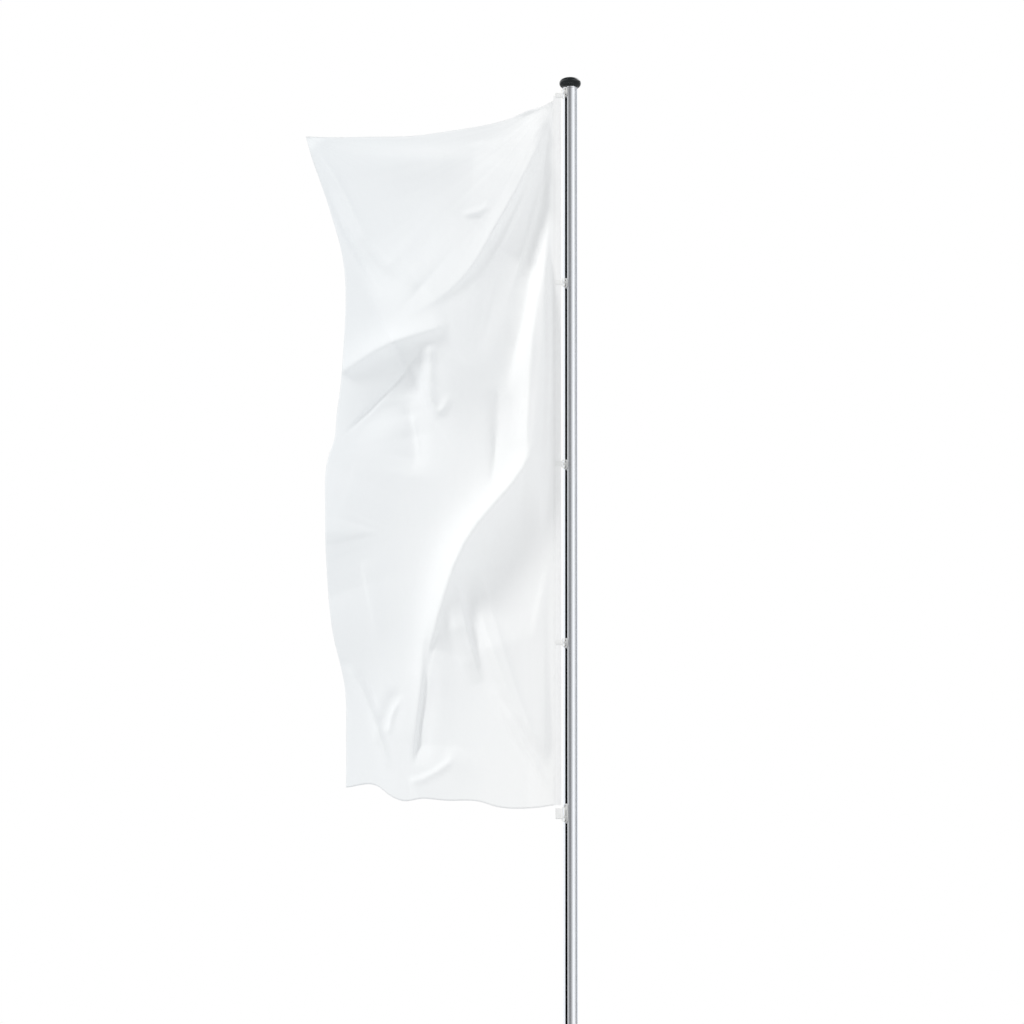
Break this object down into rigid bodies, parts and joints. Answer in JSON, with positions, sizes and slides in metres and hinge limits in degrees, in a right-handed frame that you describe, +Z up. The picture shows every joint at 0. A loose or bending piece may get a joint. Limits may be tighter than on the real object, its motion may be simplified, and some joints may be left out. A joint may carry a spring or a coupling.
{
  "type": "flagpole",
  "caption": "Round aluminium flagpole with a dark flag groove, a black mushroom cap, a bolted foot and a tall plain white banner flag on sliders.",
  "frame": {"origin": "centre of the foot plate's underside, where the mast stands on its footing", "axes": "+Z up along the mast; the flag flies towards -X; the groove faces 234 degrees from +X, seen from above"},
  "size_m": [1.5053, 0.466, 8.049],
  "materials": {
    "galvanised_steel": "hot-dip galvanised, matt with a faint spangle",
    "bolt_steel": "zinc plated",
    "sleeve_plastic": "matt moulded",
    "anodised_aluminium": "satin natural anodised, drawn lengthwise",
    "black_glide": "matt extruded",
    "black_gloss": "gloss moulded",
    "slider_grey": "satin moulded nylon",
    "hook_white": "satin moulded nylon",
    "webbing_white": "woven polyester tape",
    "flag_cloth": "satin knitted polyester"
  },
  "bodies": {
    "mast": {"base_plate": "galvanised_steel", "base_socket": "galvanised_steel", "gusset_1": "galvanised_steel", "gusset_2": "galvanised_steel", "gusset_3": "galvanised_steel", "gusset_4": "galvanised_steel", "socket_sleeve": "sleeve_plastic", "clamp_bolt_1": "bolt_steel", "clamp_bolt_2": "bolt_steel", "clamp_bolt_3": "bolt_steel", "mast_profile": "anodised_aluminium", "groove_liner": "black_glide", "cap_collar": "anodised_aluminium", "mast_cap": "black_gloss"},
    "slider_train": {"slider_1": "slider_grey", "slider_2": "slider_grey", "slider_3": "slider_grey", "slider_4": "slider_grey", "slider_5": "slider_grey"},
    "flag": {"snap_hook_1": "hook_white", "snap_hook_2": "hook_white", "snap_hook_3": "hook_white", "snap_hook_4": "hook_white", "snap_hook_5": "hook_white", "webbing_loop_1": "webbing_white", "webbing_loop_2": "webbing_white", "webbing_loop_3": "webbing_white", "webbing_loop_4": "webbing_white", "webbing_loop_5": "webbing_white", "heading_tape": "webbing_white", "flag": "flag_cloth"}
  },
  "joints": [
    {"name": "hoist", "type": "slide", "parent": "mast", "child": "slider_train", "axis": [0, 0, 1], "range_m": [-3.5, 0]},
    {"name": "flag_swing", "type": "hinge", "parent": "slider_train", "child": "flag", "pos_m": [-0.03056, -0.04207, 5.9], "axis": [0, 0, 1], "range_deg": [-36, 144]}
  ]
}
